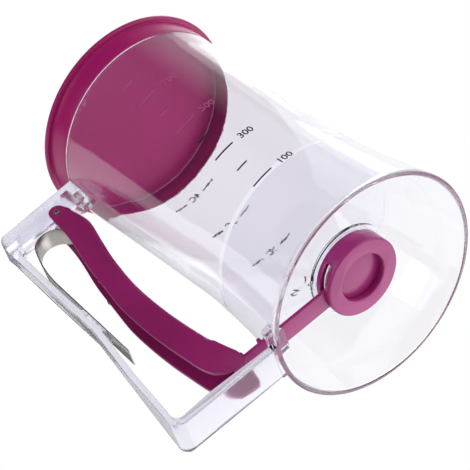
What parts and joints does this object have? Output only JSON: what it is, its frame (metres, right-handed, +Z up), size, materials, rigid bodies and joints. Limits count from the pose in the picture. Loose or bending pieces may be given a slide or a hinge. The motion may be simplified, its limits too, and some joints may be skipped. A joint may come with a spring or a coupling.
{
  "type": "batter dispenser",
  "caption": "Hand-held batter dispenser: clear jar with a funnel floor, lift-off lid, and a sprung trigger that draws a sliding gate from the outlet.",
  "frame": {"origin": "the jar's axis in the plane of the skirt's rim, which the dispenser stands on", "axes": "+Z up the jar's axis, +X toward the handle"},
  "size_m": [0.1744, 0.1156, 0.1886],
  "materials": {
    "clear_plastic": "clear moulded plastic, glossy",
    "coloured_plastic": "magenta moulded plastic, satin to gloss",
    "stainless_steel": "brushed spring steel",
    "silicone": "dark silicone, matt"
  },
  "bodies": {
    "base": {"jar_body": "clear_plastic", "handle_frame": "clear_plastic", "trigger_pivot_pin": "stainless_steel", "leaf_spring": "stainless_steel", "valve_collar": "coloured_plastic", "outlet_seal": "silicone"},
    "lid": {"lid": "coloured_plastic"},
    "trigger": {"trigger": "coloured_plastic"},
    "gate": {"gate_slide": "coloured_plastic"}
  },
  "joints": [
    {"name": "lid_lift", "type": "slide", "parent": "base", "child": "lid", "axis": [0, 0, 1], "range_m": [0, 0.06]},
    {"name": "trigger_pull", "type": "hinge", "parent": "base", "child": "trigger", "pos_m": [0.0692, 0, 0.16], "axis": [0, -1, 0], "range_deg": [0, 7.4], "stiffness_Nm_per_rad": 2.5, "springref_deg": -5.73, "deforming": ["leaf_spring"]},
    {"name": "gate_draw", "type": "slide", "parent": "base", "child": "gate", "axis": [1, 0, 0], "range_m": [0, 0.0187]}
  ],
  "couplings": [
    {"joint": "gate_draw", "follows": "trigger_pull", "m_per_rad": 0.14465}
  ]
}
